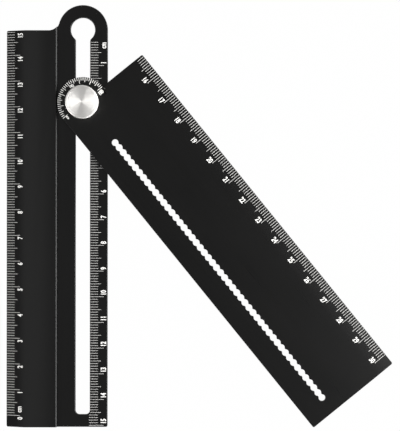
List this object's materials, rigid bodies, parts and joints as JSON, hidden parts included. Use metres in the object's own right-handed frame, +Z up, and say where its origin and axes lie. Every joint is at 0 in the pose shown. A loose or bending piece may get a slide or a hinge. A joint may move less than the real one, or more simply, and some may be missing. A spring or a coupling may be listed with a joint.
{
  "type": "set square",
  "caption": "Adjustable set square: slotted bevel-edged base rule, swinging blade with beaded compass slot and a sliding pivot clamped by a turned knob.",
  "frame": {"origin": "on the keyhole's axis, in the plane of the base rule's underside; the 15.0 graduation lies on the line y = 0", "axes": "+Z up from the underside, +Y along the base rule towards its round end, +X from the raised plate towards the slotted flange"},
  "size_m": [0.1499, 0.1641, 0.0091],
  "materials": {
    "base_anodised": "matte black anodised",
    "blade_anodised": "matte black anodised",
    "knob_stainless": "lathe turned",
    "stud_steel": "plain",
    "nut_steel": "milled",
    "bush_brass": "turned",
    "washer_nylon": "satin",
    "spring_steel": "tumbled",
    "thrust_steel": "tumbled"
  },
  "bodies": {
    "base": {"base_rule": "base_anodised"},
    "carriage": {"slide_nut": "nut_steel", "clamp_stud": "stud_steel", "pivot_bush": "bush_brass"},
    "blade": {"swing_blade": "blade_anodised", "friction_washer": "washer_nylon", "spring_washer": "spring_steel"},
    "thrust": {"thrust_washer": "thrust_steel"},
    "knob": {"clamp_knob": "knob_stainless"}
  },
  "joints": [
    {"name": "pivot_slide", "type": "slide", "parent": "base", "child": "carriage", "axis": [0, 1, 0], "range_m": [-0.1175, 0.0284]},
    {"name": "blade_swing", "type": "hinge", "parent": "carriage", "child": "blade", "pos_m": [0, -0.0284, 0.002], "axis": [0, 0, 1], "range_deg": [-39.1, 69.9]},
    {"name": "knob_lift", "type": "slide", "parent": "carriage", "child": "thrust", "axis": [0, 0, 1], "range_m": [0, 0.0007]},
    {"name": "knob_turn", "type": "hinge", "parent": "thrust", "child": "knob", "pos_m": [0, -0.0284, 0.00455], "axis": [0, 0, 1], "range_deg": [0, 360]}
  ],
  "couplings": [
    {"joint": "knob_lift", "follows": "knob_turn", "m_per_rad": 0.00011141}
  ]
}
